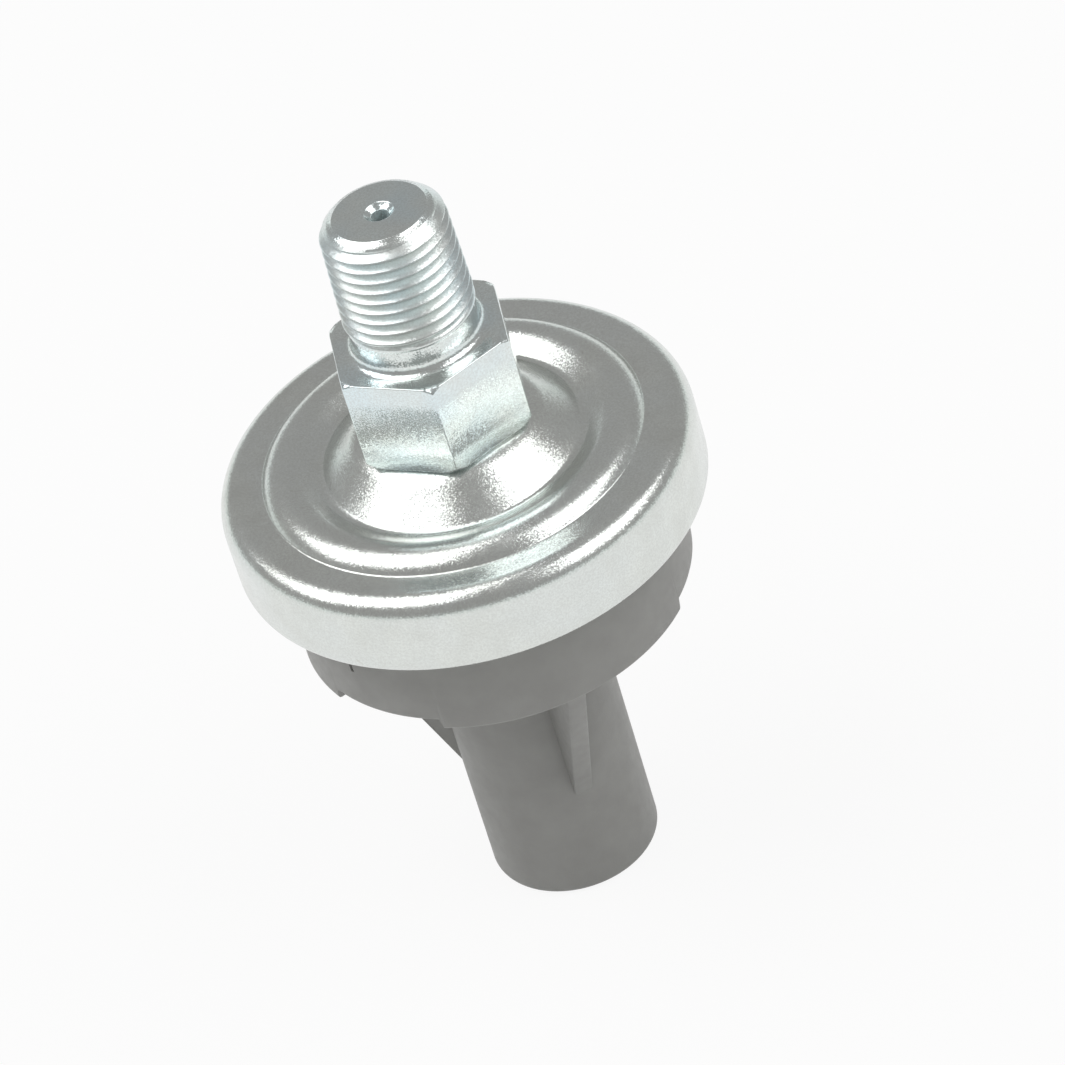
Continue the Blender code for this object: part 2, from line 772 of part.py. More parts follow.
def build_bracket(steel):
    """Channel under the plate whose two ears carry the pivot pin."""
    half = bracket_thickness / 2
    top = plate_foot - seat_gap - half
    low = plate_foot - seat_gap - ear_drop
    path = [(front_ear_y - half, low), (front_ear_y - half, top), (back_ear_y + half, top),
            (back_ear_y + half, low)]
    bracket = strip("pivot_bracket", path, bracket_thickness, bracket_start,
                    bracket_start + bracket_length, steel, frame_yz(), bracket_thickness)
    front = front_ear_y - 2 * bracket_thickness
    back = back_ear_y + 2 * bracket_thickness
    behind_ears = box_outline(bracket_start + ear_length, bracket_start + 2 * bracket_length,
                              front, back)
    clear = prism("bracket_ear_cut", behind_ears, low - seat_gap, top - half - running_gap, None)
    use_cutter(bracket, clear)
    for index, (x, y) in enumerate(bracket_rivet_places()):
        hole = rod(f"bracket_rivet_hole_{index + 1}", rivet_diameter / 2 + press_gap,
                   top - bracket_thickness, top + bracket_thickness, None, rivet_steps)
        use_cutter(bracket, placed(hole, (x, y, 0)))
    pin_hole = y_rod("bracket_pin_hole", pivot_pin_diameter / 2 + press_gap, front, back, None)
    return use_cutter(bracket, pin_hole)


def y_rod(name, radius, low, high, material, steps=small_steps):
    """A cylinder along Y through the pivot."""
    profile = [(0.0, low), (radius, low), (radius, high), (0.0, high)]
    return y_turned(name, profile, material, steps)


def y_turned(name, profile, material, steps=small_steps, closed=False):
    """A turned piece along Y whose axis is the pivot of the lever."""
    data = turned_mesh(profile, steps, closed)
    turn = Matrix.Rotation(math.radians(-90), 4, "X")
    bmesh.ops.transform(data, matrix=turn, verts=data.verts)
    item = add_object(name, data, material)
    return placed(item, (pivot_offset, 0, pivot_height))


def build_pivot_pin(steel):
    """Headed pin through both ears and the lever."""
    shank = pivot_pin_diameter / 2
    head_top = front_ear_y - bracket_thickness - seat_gap
    head = head_top - bracket_thickness / 2
    end = back_ear_y + 2 * bracket_thickness + seat_gap
    profile = [(0.0, head), (2 * shank, head), (2 * shank, head_top), (shank, head_top)]
    profile += [(shank, end), (0.0, end)]
    return y_turned("pivot_pin", profile, steel)


def build_pivot_clip(steel):
    """Retaining ring at the free end of the pivot pin."""
    low = back_ear_y + bracket_thickness + seat_gap
    high = low + bracket_thickness / 2
    inner = pivot_pin_diameter / 2 + press_gap
    outer = pivot_pin_diameter
    profile = [(inner, low), (outer, low), (outer, high), (inner, high)]
    return y_turned("pivot_clip", profile, steel, closed=True)


def build_lever(brass):
    """Wiper lever: hub on the pin, nose under the collar and the long wiper arm."""
    lever = y_rod("wiper_lever", hub_diameter / 2, arm_outer_y, back_ear_y - seat_gap, brass)
    nose = prism("nose_form", nose_outline(), -nose_width / 2, nose_width / 2, None, frame_xz())
    use_cutter(lever, placed(nose, (pivot_offset, 0, pivot_height)), "UNION")
    arm = prism("arm_form", arm_outline(), -arm_inner_y, -arm_outer_y, None, frame_xz())
    use_cutter(lever, placed(arm, (pivot_offset, 0, pivot_height)), "UNION")
    bore = y_rod("lever_bore", pivot_pin_diameter / 2 + running_gap, arm_outer_y - seat_gap,
                 back_ear_y, None)
    use_cutter(lever, bore)
    rivet_hole = y_rod("lever_rivet_hole", wiper_rivet_diameter / 2 + press_gap,
                       arm_outer_y - seat_gap, arm_inner_y + seat_gap, None, rivet_steps)
    use_cutter(lever, placed(rivet_hole, (wiper_rivet_x, 0, pivot_height)))
    return lever


def nose_outline():
    """Tapered nose from inside the hub to its round tip."""
    tip = Vector((-nose_reach, nose_rise))
    along = tip.normalized()
    side = Vector((-along.y, along.x))
    root = nose_root_width / 2
    radius = nose_tip_diameter / 2
    points = [side * root, -side * root]
    base = math.degrees(math.atan2(-side.y, -side.x))
    points += [Vector(point) for point in arc(tip, radius, base, base - 180, 8)]
    return [(point.x, point.y) for point in points][::-1]


def arm_outline():
    """Long arm that narrows towards the wiper."""
    half = arm_height / 2
    tip = -(arm_length - contact_width)
    points = [(0.0, -half), (0.0, half)]
    points += arc((tip, 0.0), arm_tip_height / 2, 90, 270, 6)
    return points


def build_wiper_contact(bronze):
    """Springy contact finger: it lies on the arm and bends out to the winding."""
    half = contact_strip_thickness / 2
    lie = arm_outer_y - seat_gap - half
    touch = card_face_y + contact_gap + half
    tip = pivot_offset - arm_length
    rivet = wiper_rivet_x
    path = [(rivet + contact_width, lie), (rivet - contact_width, lie),
            (tip + contact_width / 2, touch), (tip - contact_width / 4, touch)]
    low = pivot_height - contact_width / 2
    finger = strip("wiper_contact", path, contact_strip_thickness, low, low + contact_width,
                   bronze, Matrix.Identity(4), contact_width / 4)
    hole = y_rod("finger_rivet_hole", wiper_rivet_diameter / 2 + press_gap, lie - seat_gap,
                 lie + seat_gap, None, rivet_steps)
    return use_cutter(finger, placed(hole, (rivet, 0, pivot_height)))


def build_wiper_rivet(brass):
    """Rivet through the arm and the contact finger."""
    shank = wiper_rivet_diameter / 2
    head = wiper_rivet_diameter
    inner_head = arm_inner_y + seat_gap
    outer_head = arm_outer_y - seat_gap - contact_strip_thickness - seat_gap / 2
    high = inner_head + wiper_rivet_head
    low = outer_head - wiper_rivet_head
    profile = [(0.0, low), (head, low), (head, outer_head), (shank, outer_head)]
    profile += [(shank, inner_head), (head, inner_head), (head, high), (0.0, high)]
    rivet = y_turned("wiper_rivet", profile, brass, rivet_steps)
    return placed(rivet, (wiper_rivet_x, 0, pivot_height))


def build_card(board):
    """Resistor card that the wire is wound on, held by its top edge."""
    x = card_middle_x
    y = card_middle_y
    low = floor_top + strip_thickness + 2 * seat_gap
    high = plate_foot - 2 * seat_gap
    outline = box_outline(x - card_width / 2, x + card_width / 2, y - card_thickness / 2,
                          y + card_thickness / 2)
    return prism("resistor_card", outline, low, high, board)


def build_winding(wire):
    """Resistance winding: a sleeve of wire turns round the card."""
    x = card_middle_x
    y = card_middle_y
    low = winding_foot
    pitch = winding_height / winding_turns
    inner_x = card_width / 2 + press_gap
    inner_y = card_thickness / 2 + press_gap
    data = bmesh.new()
    loops = []
    for index in range(2 * winding_turns + 1):
        height = low + pitch * index / 2
        swell = winding_wire if index % 2 else winding_wire / 2
        corners = box_outline(x - inner_x - swell, x + inner_x + swell,
                              y - inner_y - swell, y + inner_y + swell)
        loops.append([data.verts.new((*corner, height)) for corner in corners])
    for height in (low + winding_height, low):
        corners = box_outline(x - inner_x, x + inner_x, y - inner_y, y + inner_y)
        loops.append([data.verts.new((*corner, height)) for corner in corners])
    for first, second in zip(loops, loops[1:] + loops[:1]):
        for side in range(4):
            after = (side + 1) % 4
            data.faces.new((first[side], first[after], second[after], second[side]))
    return add_object("resistance_winding", data, wire)


def holder_rivet_places():
    """Places of the two rivets that hold the card holder."""
    x = card_middle_x
    y = card_middle_y - card_thickness / 2 - holder_back / 2 - seat_gap
    return (x - holder_width / 4, y), (x + holder_width / 4, y)


def build_card_holder(insulator):
    """Moulded block under the plate with a slot for the card's top edge."""
    x = card_middle_x
    y = card_middle_y
    high = plate_foot - seat_gap
    low = high - holder_thickness
    slot_y = card_thickness / 2 + seat_gap / 2
    slot_x = card_width / 2 + seat_gap / 2
    wall = holder_thickness / 2
    outline = box_outline(x - holder_width / 2, x + holder_width / 2,
                          y - slot_y - holder_back, y + slot_y + wall)
    holder = prism("card_holder", outline, low, high, insulator)
    slot = prism("holder_slot_cut", box_outline(x - slot_x, x + slot_x, y - slot_y, y + slot_y),
                 low - seat_gap, high + seat_gap, None)
    use_cutter(holder, slot)
    for index, (rivet_x, rivet_y) in enumerate(holder_rivet_places()):
        hole = rod(f"holder_rivet_hole_{index + 1}", rivet_diameter / 2 + press_gap,
                   low - seat_gap, high + seat_gap, None, rivet_steps)
        use_cutter(holder, placed(hole, (rivet_x, rivet_y, 0)))
    return holder


def rivet_places():
    """Name and place of each rivet in the mechanism plate."""
    bracket = bracket_rivet_places()
    holder = holder_rivet_places()
    return {"bridge_rivet_front": (0.0, -bridge_rivet_y()),
            "bridge_rivet_back": (0.0, bridge_rivet_y()),
            "bracket_rivet_front": bracket[0], "bracket_rivet_back": bracket[1],
            "holder_rivet_left": holder[0], "holder_rivet_right": holder[1]}


def rivet_heads():
    """Thickness of the sheet that each rivet holds under the plate."""
    return {"bridge": bridge_thickness, "bracket": bracket_thickness, "holder": holder_thickness}


def build_rivets(steel):
    """Rivets with a head below and a flush upper end."""
    shank = rivet_diameter / 2
    head = rivet_head_diameter / 2
    for name, (x, y) in rivet_places().items():
        sheet = rivet_heads()[name.split("_")[0]]
        head_top = plate_foot - seat_gap - sheet - seat_gap
        low = head_top - rivet_head_height
        edge = rivet_head_height / 2
        profile = [(0.0, low), (head - edge, low), (head, low + edge)]
        profile += [(head, head_top), (shank, head_top), (shank, plate_top), (0.0, plate_top)]
        rivet = turned_solid(name, profile, steel, rivet_steps)
        placed(rivet, (x, y, 0))


def strip_direction():
    """Direction from the axis out to the resistor card."""
    return (card_middle_x, card_middle_y, 0.0)


def build_contact_strip(brass):
    """Brass strip from the foot of the card down the throat to the terminal."""
    half = strip_thickness / 2
    lie = floor_top + seat_gap + half
    clear_radius = throat_diameter / 2 - seat_gap
    down = math.sqrt(clear_radius ** 2 - (strip_width / 2) ** 2) - half
    foot = socket_depth + partition_thickness + washer_thickness + 2 * seat_gap + half
    reach = Vector(strip_direction()).length + strip_width / 3
    path = [(reach, lie), (down, lie), (down, foot), (-strip_width / 2, foot)]
    lead = strip("contact_strip", path, strip_thickness, -strip_width / 2, strip_width / 2,
                 brass, frame_radial(strip_direction()), strip_thickness)
    hole = rod("strip_hole", terminal_shank_diameter / 2 + press_gap, foot - 2 * strip_thickness,
               foot + 2 * strip_thickness, None)
    return use_cutter(lead, hole)


def build_terminal(brass, steel):
    """Contact pin in the socket, with its washer and nut above the partition."""
    pin = terminal_diameter / 2
    shank = terminal_shank_diameter / 2
    flange = terminal_flange_diameter / 2
    flange_high = socket_depth - seat_gap
    flange_low = flange_high - terminal_flange_height
    washer_low = socket_depth + partition_thickness + seat_gap
    washer_high = washer_low + washer_thickness
    nut_low = washer_high + seat_gap + strip_thickness + seat_gap
    nut_high = nut_low + terminal_nut_height
    tip = terminal_recess
    round_centre = (pin - terminal_tip_radius, tip + terminal_tip_radius)
    profile = [(0.0, tip)] + arc(round_centre, terminal_tip_radius, -90, 0)
    profile += [(pin, flange_low), (flange, flange_low), (flange, flange_high)]
    profile += [(shank, flange_high), (shank, nut_high + seat_gap), (0.0, nut_high + seat_gap)]
    turned_solid("terminal_pin", profile, brass)
    ring("terminal_washer", shank + press_gap, washer_diameter / 2, washer_low, washer_high,
         steel)
    build_nut("terminal_nut", terminal_shank_diameter, nut_low, nut_high, brass)


def build_sender():
    """Build every piece of the sender."""
    clear_scene()
    plated = make_material("zinc_plated_steel", (0.66, 0.68, 0.67), 0.28, 1.0)
    plain = make_material("spring_steel", (0.52, 0.52, 0.53), 0.35, 1.0)
    brass = make_material("brass", (0.72, 0.55, 0.28), 0.35, 1.0)
    bronze = make_material("phosphor_bronze", (0.62, 0.40, 0.25), 0.4, 1.0)
    plastic = make_material("grey_nylon", (0.24, 0.235, 0.23), 0.55, 0.0)
    rubber = make_material("black_rubber", (0.02, 0.02, 0.02), 0.8, 0.0)
    board = make_material("phenolic_board", (0.35, 0.17, 0.08), 0.6, 0.0)
    wire = make_material("resistance_wire", (0.55, 0.50, 0.45), 0.4, 1.0)
    build_housing(plastic)
    build_cap(plated)
    build_fitting(plated)
    build_gasket(rubber)
    build_diaphragm(plain)
    build_plate(plated)
    build_bush(bronze)
    build_plunger(plain)
    build_collar(plain)
    build_spring(plain)
    build_spring_seat(plain)
    build_bridge(plated)
    build_screw(brass)
    build_nut("lock_nut", screw_diameter, bridge_top - bridge_thickness - seat_gap - nut_height,
              bridge_top - bridge_thickness - seat_gap, brass)
    build_bracket(plated)
    build_pivot_pin(plain)
    build_pivot_clip(plain)
    build_lever(brass)
    build_wiper_contact(bronze)
    build_wiper_rivet(brass)
    build_card(board)
    build_winding(wire)
    build_card_holder(board)
    build_rivets(plated)
    build_contact_strip(brass)
    build_terminal(brass, plated)


build_sender()
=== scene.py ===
"""Looks of the oil pressure sender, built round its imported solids.

The pressed cap, the threaded fitting and the moulded housing are remade here as fine meshes
with their small fillets and the true thread. Every other solid keeps its mesh and gets a
procedural finish. Metres, +Z up, in the frame of the solids. Angles about Z are counted
from the front, which is -Y, towards +X.
"""
import json
import math

import bmesh
import bpy
import numpy as np
from mathutils import Matrix, Vector


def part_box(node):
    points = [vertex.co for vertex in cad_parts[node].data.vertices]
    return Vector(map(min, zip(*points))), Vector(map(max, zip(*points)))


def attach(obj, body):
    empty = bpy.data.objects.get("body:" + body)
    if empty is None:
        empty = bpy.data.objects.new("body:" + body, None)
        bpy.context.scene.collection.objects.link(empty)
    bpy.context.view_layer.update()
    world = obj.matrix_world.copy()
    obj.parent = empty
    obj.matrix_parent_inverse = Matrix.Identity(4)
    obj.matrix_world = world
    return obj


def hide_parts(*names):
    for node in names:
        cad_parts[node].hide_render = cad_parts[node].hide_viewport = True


merge_distance = 0.0000002

# Photograph and camera
photo_side = 1065.0            # pixels
focal_pixels = 5922.3
sensor_width = 36.0            # on the camera, in its own millimetres
cap_foot_pixel = (473.26, 509.91)   # where the axis meets the plane of the cap's lip
view_depth = 0.4550            # from the camera to that point, along the view
axis_to_view = 51.44           # degrees between the part's axis and the view
axis_lean = 17.22              # degrees that the axis leans left in the picture
camera_turn = 1.56             # degrees from the front towards +X

# Pressure cap
cap_steps = 288
cap_sheet = 0.0008
cap_hole_radius = 0.00385
boss_rise = 0.0030
boss_flat_radius = 0.0054
boss_shoulder = 0.0036
groove_place = 0.01035         # radius of the groove between the boss and the bead
groove_round = 0.0007
bead_place = 0.0130            # radius of the bead's crest
bead_height = 0.0011
bead_round = 0.0024
bead_slope = 54.0              # degrees, at the bead's outer foot
bead_crease = 0.00025
rim_tilt = 2.5                 # degrees that the flat rim rises outwards
rim_round = 0.0018
fold_round = 0.0009
lip_width = 0.0027

# Threaded fitting
hex_flat = 0.0065              # from the axis to a flat
hex_corner_round = 0.00012
hex_corner_steps = (-0.5, -0.35, -0.18, 0.18, 0.35)   # degrees beside each upright edge
hex_edge_round = 0.00009
hex_height = 0.0081
hex_chamfer = 40.0             # degrees, off the corners only
hex_face_radius = 0.0071       # of the flat upper side, inside the chamfer
hex_foot_chamfer = 0.0004
neck_radius = 0.00495
neck_length = 0.0021
neck_fillet = 0.0008
thread_length = 0.0096
thread_pitch = 0.000941
thread_radius = 0.00503        # over the crests at thread_middle
thread_middle = 0.0591
thread_taper = 1.0 / 32.0      # of the radius
thread_depth = 0.00064
thread_rise = 0.0005           # height in which the neck swells to the crests
thread_run_out = 0.0008        # height in which the grooves reach their full depth
thread_dull_heights = (0.0546, 0.0550)   # the plating turns duller between these
thread_dull_radii = (0.0039, 0.0043)     # and these, so that the tip's face stays glossy
thread_dullness = 0.14         # added to the roughness on the thread
tip_shoulder_radius = 0.00485
tip_shoulder_drop = 0.0010
tip_bulge = 0.45               # share of a rounded form in the tip's chamfer
tip_face_radius = 0.00365
tip_edge_round = 0.00016
port_radius = 0.0007
port_sink_radius = 0.0011
port_dullness = 0.6            # added to the roughness inside the port
gallery_radius = 0.00185
gallery_drop = 0.0045
spigot_radius = 0.00365
stake_radius = 0.0046
stake_gap = 0.0010             # from the hexagon's seat down to the staked collar

# Moulded housing
tower_radius = 0.0068
tower_wall = 0.0014
tower_length = 0.0283
tower_edge = 0.0006
socket_depth = 0.0156
partition = 0.0022
throat_radius = 0.00485
shank_hole_radius = 0.00122
base_radius = 0.01565
base_wall = 0.0015
floor_thickness = 0.0015
flange_thickness = 0.0020
skirt_depth = 0.0018
skirt_step = 0.0009
skirt_edge = 0.00026
mould_fillet = 0.0003
lobe_count = 3
lobe_turn = 16.2
lobe_width = 83.0              # degrees
lobe_edge_width = 0.9          # degrees over which the skirt steps up beside a lobe
lobe_edge_steps = (-0.4, -0.2, 0.0, 0.2, 0.4)   # degrees beside a lobe's end
gusset_thickness = 0.0016
gusset_foot = 0.0099           # height of the gusset's lower end on the tower
gusset_edge = 0.00022
slot_turn = -50.5
slot_width = 0.0003
slot_height = 0.0050
slot_depth = 0.00015
slot_half_turn = math.degrees(slot_width / 2 / base_radius)

# Studio
lamp_height = 0.60             # above the cap
lamp_radiance = 2.0

# Each lamp: turn of its own sideways direction in degrees, side, near and far end along that
# direction, and front and back end across it. The ends are shares of the lamp's height.
lamps = {"lamp_left": (24.0, -1, 0.06, 1.45, -0.62, 0.27),
         "lamp_right": (27.0, 1, 0.17, 1.20, -1.50, -0.20)}

surround_pale = (0.88, 0.94, 0.92)
surround_grey = 0.37
surround_fade = (0.07, 0.16)   # rise of a direction, from where it is pale to where it is grey
floor_half = 3.0
floor_gap = 0.00005            # below the part
floor_glow = 0.9               # share of the floor's own white in what the camera sees


def arc(centre, radius, start, end, steps):
    """Points of an arc in the plane of radius and height, from start to end in degrees."""
    points = []
    for index in range(steps + 1):
        angle = math.radians(start + (end - start) * index / steps)
        points.append((centre[0] + radius * math.cos(angle), centre[1] + radius * math.sin(angle)))
    return points


def offset_path(points, distance):
    """The path moved sideways by a distance, to its right as it runs."""
    moved = []
    last = len(points) - 1
    for index, point in enumerate(points):
        before = Vector(points[max(index - 1, 0)])
        after = Vector(points[min(index + 1, last)])
        here = Vector(point)
        first = (here - before).normalized() if index > 0 else (after - here).normalized()
        second = (after - here).normalized() if index < last else first
        across = Vector((first.y + second.y, -first.x - second.x))
        across *= 2.0 / across.length_squared
        moved.append((here.x + across.x * distance, here.y + across.y * distance))
    return moved


def even_angles(steps, extra=()):
    """Angles about Z in radians, evenly spaced, with a few more where a shape needs them."""
    angles = [2 * math.pi * index / steps for index in range(steps)]
    for turn in extra:
        angles.append(math.radians(turn) % (2 * math.pi))
    return np.array(sorted(set(round(angle, 7) for angle in angles)))


def new_piece(name, mesh_data, material, sharp_angle, body="casing"):
    """Object for a finished mesh, smooth where its faces meet gently, riding on a body."""
    mesh_data.shade_smooth()
    mesh_data.set_sharp_from_angle(angle=math.radians(sharp_angle))
    piece = bpy.data.objects.new(name, mesh_data)
    bpy.context.scene.collection.objects.link(piece)
    piece.data.materials.append(material)
    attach(piece, body)
    return piece


def ring_grid(name, rings, angles, closed=False, shift=0):
    """Mesh through rings of points. A ring is a pair: radius and height, each one number or
    one for every angle. With a shift, the seam joins each ring to the one that far above."""
    count = len(angles)
    form = bmesh.new()
    rows = []
    for radius, height in rings:
        radii = np.broadcast_to(radius, count)
        heights = np.broadcast_to(height, count)
        row = []
        for angle, r, z in zip(angles, radii, heights):
            row.append(form.verts.new((r * math.sin(angle), -r * math.cos(angle), z)))
        rows.append(row)
    if closed:
        rows.append(rows[0])
    for low, row in enumerate(rows[:-1]):
        above = rows[low + 1]
        for index in range(count - 1):
            form.faces.new((row[index], row[index + 1], above[index + 1], above[index]))
        if low + 1 + shift < len(rows):
            form.faces.new((row[-1], rows[low + shift][0], rows[low + 1 + shift][0], above[-1]))
    bmesh.ops.remove_doubles(form, verts=form.verts, dist=merge_distance)
    bmesh.ops.recalc_face_normals(form, faces=form.faces)
    mesh_data = bpy.data.meshes.new(name)
    form.to_mesh(mesh_data)
    form.free()
    return mesh_data


def tangent_angle(centre, radius, point, side):
    """Angle in degrees, on a circle, of the tangent that runs to a point on one side."""
    across = point[0] - centre[0]
    rise = point[1] - centre[1]
    opening = math.acos(radius / math.hypot(across, rise))
    return math.degrees(math.atan2(rise, across) + side * opening)


def groove_arc(point, low_angle, high_angle):
    """Fillet in the bottom of the groove, between two flanks given by their normals."""
    half = math.radians(180 - (high_angle - low_angle)) / 2
    middle = math.radians((low_angle + high_angle) / 2)
    stretch = groove_round / math.sin(half)
    centre = (point[0] + stretch * math.cos(middle), point[1] + stretch * math.sin(middle))
    return arc(centre, groove_round, 180 + low_angle, 180 + high_angle, 10)


def cap_profile(wall, lip_foot, boss_top):
    """Outer face of the cap, from the hole in its boss to the end of the crimped lip."""
    cap_top = boss_top - boss_rise
    boss_centre = (boss_flat_radius, boss_top - boss_shoulder)
    bead_centre = (bead_place, cap_top + bead_height - bead_round)
    groove = (groove_place, cap_top)
    boss_end = tangent_angle(boss_centre, boss_shoulder, groove, 1)
    bead_start = tangent_angle(bead_centre, bead_round, groove, -1)
    profile = [(cap_hole_radius, boss_top)]
    profile += arc(boss_centre, boss_shoulder, 90, boss_end, 16)
    profile += groove_arc(groove, boss_end, bead_start)
    profile += arc(bead_centre, bead_round, bead_start, 90 - bead_slope, 26)
    foot = profile[-1]
    rest = math.radians(bead_slope)
    crease_centre = (foot[0] + bead_crease * math.sin(rest), foot[1] + bead_crease * math.cos(rest))
    profile += arc(crease_centre, bead_crease, 270 - bead_slope, 270 + rim_tilt, 8)[1:]
    start = profile[-1]
    rim_end = wall - rim_round
    rise = (rim_end - start[0]) * math.tan(math.radians(rim_tilt))
    rim_top = start[1] + rise
    for share in (0.25, 0.5, 0.75):
        profile.append((start[0] + (rim_end - start[0]) * share, start[1] + rise * share))
    profile += arc((rim_end, rim_top - rim_round), rim_round, 90 + rim_tilt, 0, 20)
    profile.append((wall, (rim_top + lip_foot) / 2))
    profile += arc((wall - fold_round, lip_foot + fold_round), fold_round, 0, -90, 8)
    profile += [(wall - (fold_round + lip_width) / 2, lip_foot), (wall - lip_width, lip_foot)]
    return profile


def build_cap(steel):
    """Pressed cap: its outer face, and the same face one sheet thickness inside."""
    low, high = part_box("pressure_cap")
    outer = cap_profile(high.x, low.z, high.z)
    inner = offset_path(outer, cap_sheet)
    rings = outer + inner[::-1]
    mesh_data = ring_grid("cap_skin", rings, even_angles(cap_steps), closed=True)
    piece = new_piece("cap_skin", mesh_data, steel, sharp_angle=40.0)
    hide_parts("pressure_cap")


def hex_radius(angles, flat):
    """Radius of the hexagon at each angle, with its upright edges a little rounded."""
    turn = (angles + math.pi / 6) % (math.pi / 3) - math.pi / 6
    sharp = flat / np.cos(math.pi / 6 - np.abs(turn))
    centre = (flat - hex_corner_round) / math.cos(math.pi / 6)
    reach = math.atan2(hex_corner_round / 2, centre + hex_corner_round * math.cos(math.pi / 6))
    inside = np.clip(hex_corner_round ** 2 - (centre * np.sin(turn)) ** 2, 0, None)
    rounded = centre * np.cos(turn) + np.sqrt(inside)
    return np.where(np.abs(turn) < reach, rounded, sharp)


def hex_top_at(radius, top):
    """Height of the hexagon's upper side at a radius: flat, then falling at the corners."""
    slope = math.tan(math.radians(hex_chamfer))
    return top - np.clip(radius - hex_face_radius, 0, None) * slope


def hex_rings(angles, foot, top):
    """Rings of the hexagon from its seat up to the face round the neck."""
    reach = hex_radius(angles, hex_flat)
    corner = reach.max()
    foot_lift = np.clip(reach - (corner - hex_foot_chamfer), 0, None)
    inset = hex_edge_round
    shoulder = hex_top_at(reach, top)
    rings = [(np.minimum(reach - inset, corner - hex_foot_chamfer), foot)]
    rings.append((reach - inset * 0.3, foot + foot_lift + inset * 0.3))
    rings.append((reach, foot + foot_lift + inset))
    for share in (0.25, 0.5, 0.75):
        low_end = foot + foot_lift + inset
        rings.append((reach, low_end + (shoulder - inset - low_end) * share))
    rings.append((reach, shoulder - inset))
    rings.append((reach - inset * 0.3, shoulder - inset * 0.3))
    middle = (reach + hex_flat) / 2 - inset
    face_end = np.minimum(middle - inset, hex_face_radius)
    for radius in (reach - inset, middle, face_end):
        rings.append((radius, hex_top_at(radius, top)))
    rings.append((hex_flat - inset * 4, top))
    return rings


def smooth_step(value):
    """Eased change from 0 to 1 of a value that runs from 0 to 1."""
    clipped = np.clip(value, 0, 1)
    return clipped * clipped * (3 - 2 * clipped)


def tip_envelope(height, tip):
    """Radius of the rounded chamfer that cuts the thread's end."""
    drop = np.clip((tip - height) / tip_shoulder_drop, 0, None)
    bulge = np.sqrt(np.clip(drop, 0, 1))
    share = (1 - tip_bulge) * drop + tip_bulge * bulge
    chamfer = tip_face_radius + (tip_shoulder_radius - tip_face_radius) * share
    return np.where(drop < 1, chamfer, 1.0)


# One turn of the thread: share of the pitch, and height of the form above its groove
thread_form = [(0.00, 0.96), (0.05, 1.00), (0.11, 0.96), (0.16, 0.86), (0.34, 0.46),
               (0.50, 0.08), (0.56, 0.00), (0.62, 0.08), (0.80, 0.46), (0.95, 0.86)]


def thread_rings(angles, low, high, tip):
    """Rings that climb one pitch a turn, so that the crests and grooves are true helices. The
    first and last turns lie past the thread's ends, where they close up flat."""
    turns = int((high - low) / thread_pitch) + 4
    rings = []
    for turn in range(turns):
        for along, rise in thread_form:
            free = low + thread_pitch * (turn - 2 + along + angles / (2 * math.pi))
            height = np.clip(free, low, high)
            crest = thread_radius - (height - thread_middle) * thread_taper
            share = smooth_step((height - low) / thread_run_out)
            rise_here = 1 - (1 - rise) * share
            full = neck_radius + (crest - neck_radius) * smooth_step((height - low) / thread_rise)
            radius = full - thread_depth * (1 - rise_here)
            rings.append((np.minimum(radius, tip_envelope(height, tip)), height))
    return rings


def build_fitting(steel):
    """Fitting with its hexagon, neck, thread, port and staked spigot, as three shells that
    meet edge to edge and are welded."""
    low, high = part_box("threaded_fitting")
    tip = high.z
    hex_top = tip - thread_length - neck_length
    hex_foot = hex_top - hex_height
    neck_top = hex_top + neck_length
    corners = [60.0 * corner + step for corner in range(6) for step in hex_corner_steps]
    angles = even_angles(360, corners)
    thread_end = tip - tip_edge_round * 1.3
    stake_top = hex_foot - stake_gap
    body = [(port_radius, tip - gallery_drop + gallery_radius - port_radius)]
    body += [(gallery_radius, tip - gallery_drop), (gallery_radius, low.z), (stake_radius, low.z)]
    body += [(stake_radius, stake_top), (spigot_radius, stake_top), (spigot_radius, hex_foot)]
    body += hex_rings(angles, hex_foot, hex_top)
    body += arc((neck_radius + neck_fillet, hex_top + neck_fillet), neck_fillet, 270, 180, 4)
    body += [(neck_radius, hex_top + neck_length / 2), (neck_radius, neck_top)]
    thread = thread_rings(angles, neck_top, thread_end, tip)
    edge_foot = tip - tip_edge_round
    end = [(float(tip_envelope(np.array(thread_end), tip)), thread_end)]
    end += arc((tip_face_radius - tip_edge_round / 2, edge_foot), tip_edge_round, 35, 90, 4)
    end += arc((port_sink_radius + tip_edge_round, edge_foot), tip_edge_round, 90, 150, 4)
    end += [(port_radius, tip - port_sink_radius + port_radius)]
    end += [(port_radius, tip - gallery_drop + gallery_radius - port_radius)]
    form = bmesh.new()
    shells = [ring_grid("fitting_body", body, angles),
              ring_grid("fitting_thread", thread, angles, shift=len(thread_form)),
              ring_grid("fitting_end", end, angles)]
    for shell in shells:
        form.from_mesh(shell)
        bpy.data.meshes.remove(shell)
    bmesh.ops.remove_doubles(form, verts=form.verts, dist=merge_distance)
    bmesh.ops.recalc_face_normals(form, faces=form.faces)
    mesh_data = bpy.data.meshes.new("fitting_skin")
    form.to_mesh(mesh_data)
    form.free()
    piece = new_piece("fitting_skin", mesh_data, steel, sharp_angle=48.0)
    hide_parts("threaded_fitting")


def skirt_foot_at(angles):
    """Height of the skirt's foot at each angle: low in the lobes, higher between them."""
    turn = (np.degrees(angles) - lobe_turn + 180.0 / lobe_count) % (360.0 / lobe_count)
    from_middle = np.abs(turn - 180.0 / lobe_count)
    past = (from_middle - lobe_width / 2) / lobe_edge_width
    return tower_length - skirt_depth + skirt_step * smooth_step(past + 0.5)


